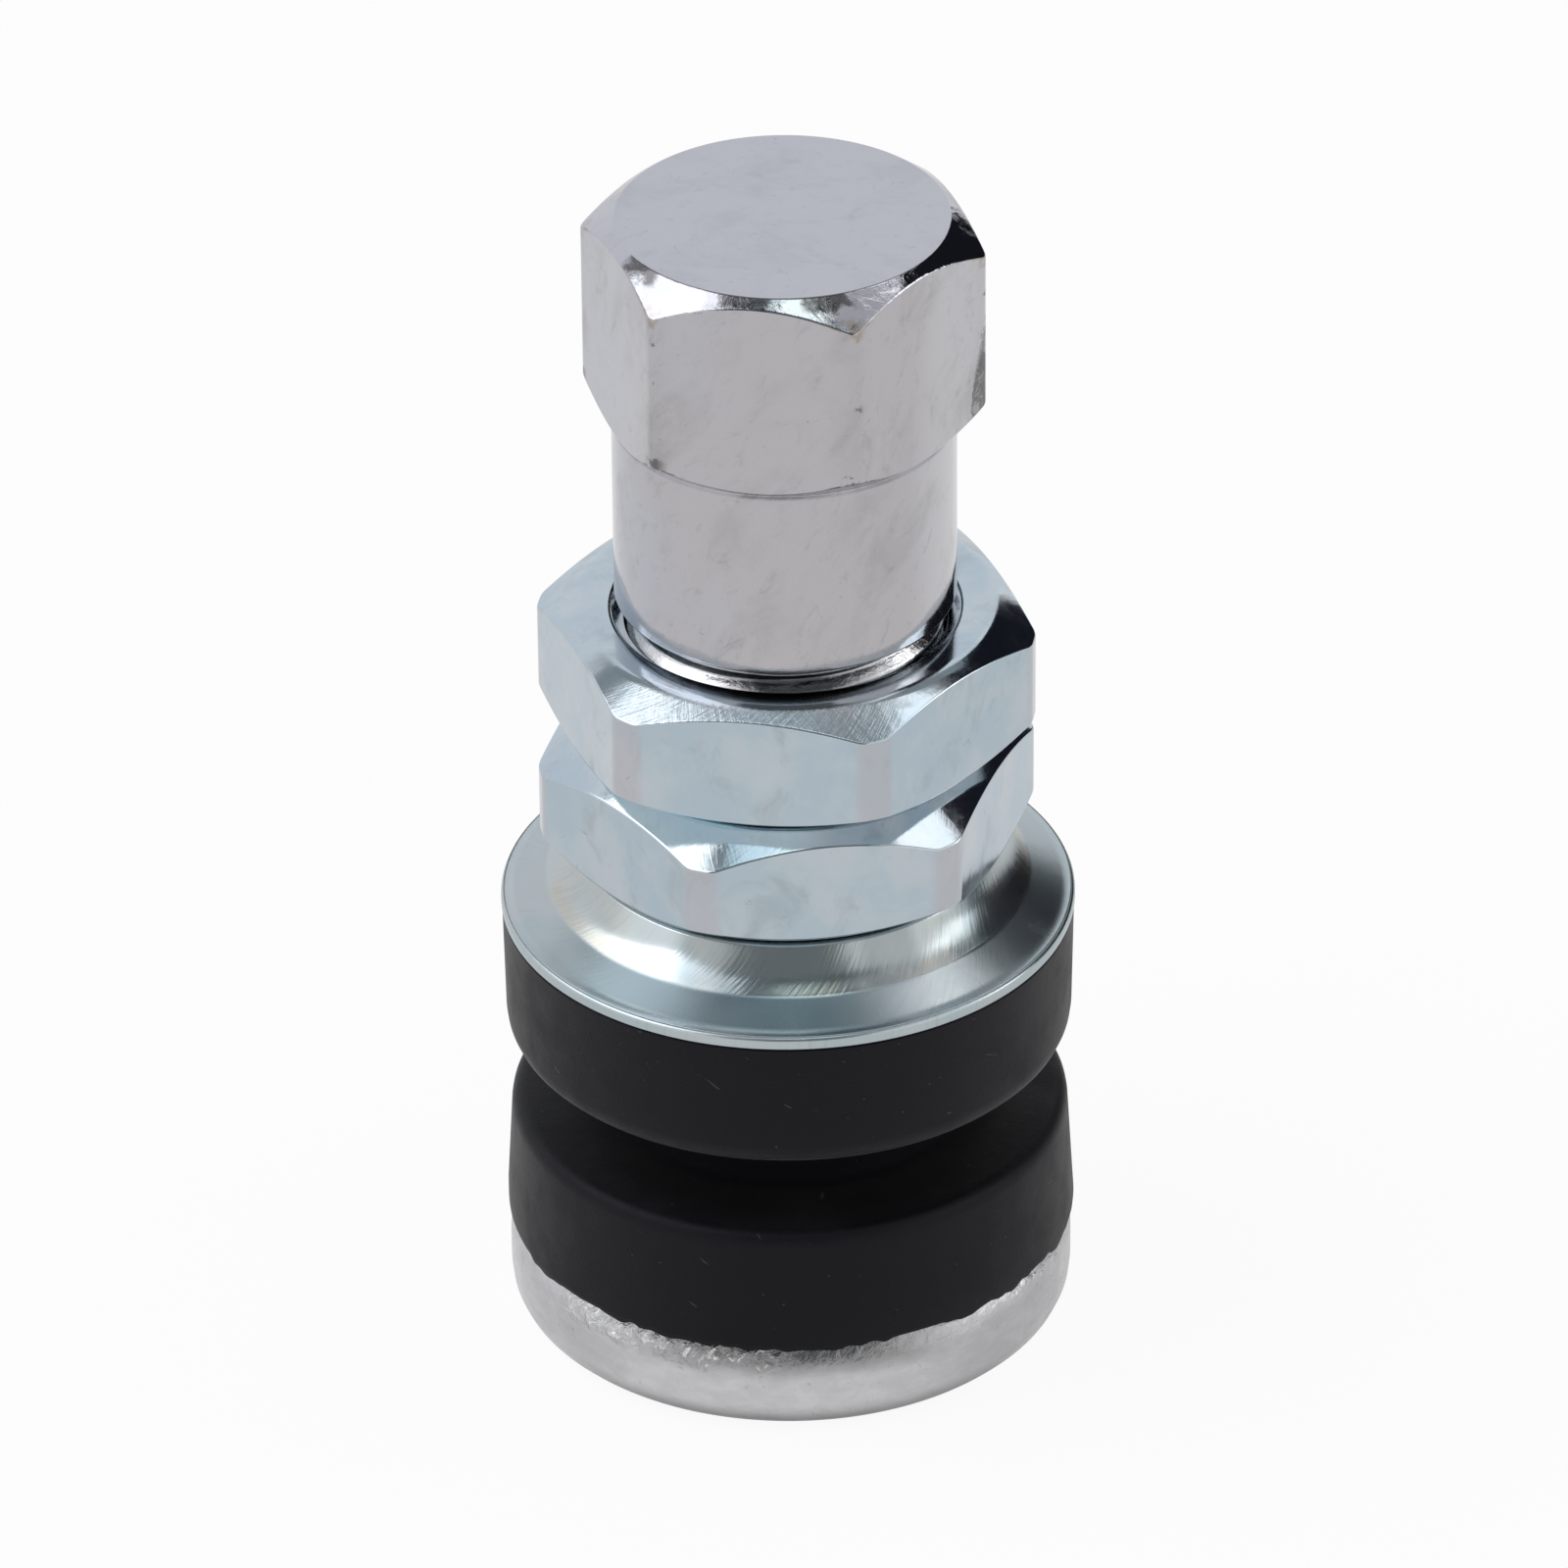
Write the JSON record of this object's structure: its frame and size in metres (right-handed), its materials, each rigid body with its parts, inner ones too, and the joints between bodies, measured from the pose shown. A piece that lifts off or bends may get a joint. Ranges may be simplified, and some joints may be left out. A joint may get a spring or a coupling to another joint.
{
  "type": "clamp-in tyre valve",
  "caption": "Metal clamp-in tyre valve: flanged stem with rubber grommets, cup washer, hexagon nuts and a screw cap over a sprung valve core.",
  "frame": {"origin": "centre of the underside of the base flange, which stands on the surface", "axes": "+Z along the stem towards the cap; +X through a corner of the cap's hexagon"},
  "size_m": [0.0182, 0.0182, 0.039],
  "materials": {
    "stem_metal": "dull turned and tumbled light alloy",
    "rubber": "matte moulded black rubber",
    "zinc_plate": "bright blue-white zinc plate",
    "cap_chrome": "bright chrome plate with light handling marks",
    "core_brass": "turned brass",
    "seal_plastic": "red seal plastic",
    "spring_steel": "drawn spring wire"
  },
  "bodies": {
    "stem": {"valve_stem": "stem_metal", "lower_grommet": "rubber", "upper_grommet": "rubber", "cup_washer": "zinc_plate", "core_plug": "core_brass", "core_barrel": "core_brass", "barrel_seal": "seal_plastic", "core_spring": "spring_steel"},
    "lower_nut": {"lower_nut": "zinc_plate"},
    "upper_nut": {"upper_nut": "zinc_plate"},
    "cap_seal": {"cap_seal": "rubber"},
    "cap": {"cap": "cap_chrome"},
    "pin": {"core_pin": "core_brass", "plunger_cup": "core_brass", "plunger_seal": "rubber"}
  },
  "joints": [
    {"name": "cap_turn", "type": "hinge", "parent": "cap_seal", "child": "cap", "pos_m": [0, 0, 0.0258], "axis": [0, 0, 1], "range_deg": [0, 4320]},
    {"name": "cap_lift", "type": "slide", "parent": "stem", "child": "cap_seal", "axis": [0, 0, 1], "range_m": [0, 0.00953]},
    {"name": "lower_nut_turn", "type": "hinge", "parent": "stem", "child": "lower_nut", "pos_m": [0, 0, 0.01675], "axis": [0, 0, 1], "range_deg": [0, 45]},
    {"name": "upper_nut_turn", "type": "hinge", "parent": "stem", "child": "upper_nut", "pos_m": [0, 0, 0.0211], "axis": [0, 0, 1], "range_deg": [0, 150]},
    {"name": "pin_press", "type": "slide", "parent": "stem", "child": "pin", "axis": [0, 0, -1], "range_m": [0, 0.0015], "stiffness_N_per_m": 150, "springref_m": -0.003, "deforming": ["core_spring"]}
  ],
  "couplings": [
    {"joint": "cap_lift", "follows": "cap_turn", "m_per_rad": 0.00012633}
  ]
}
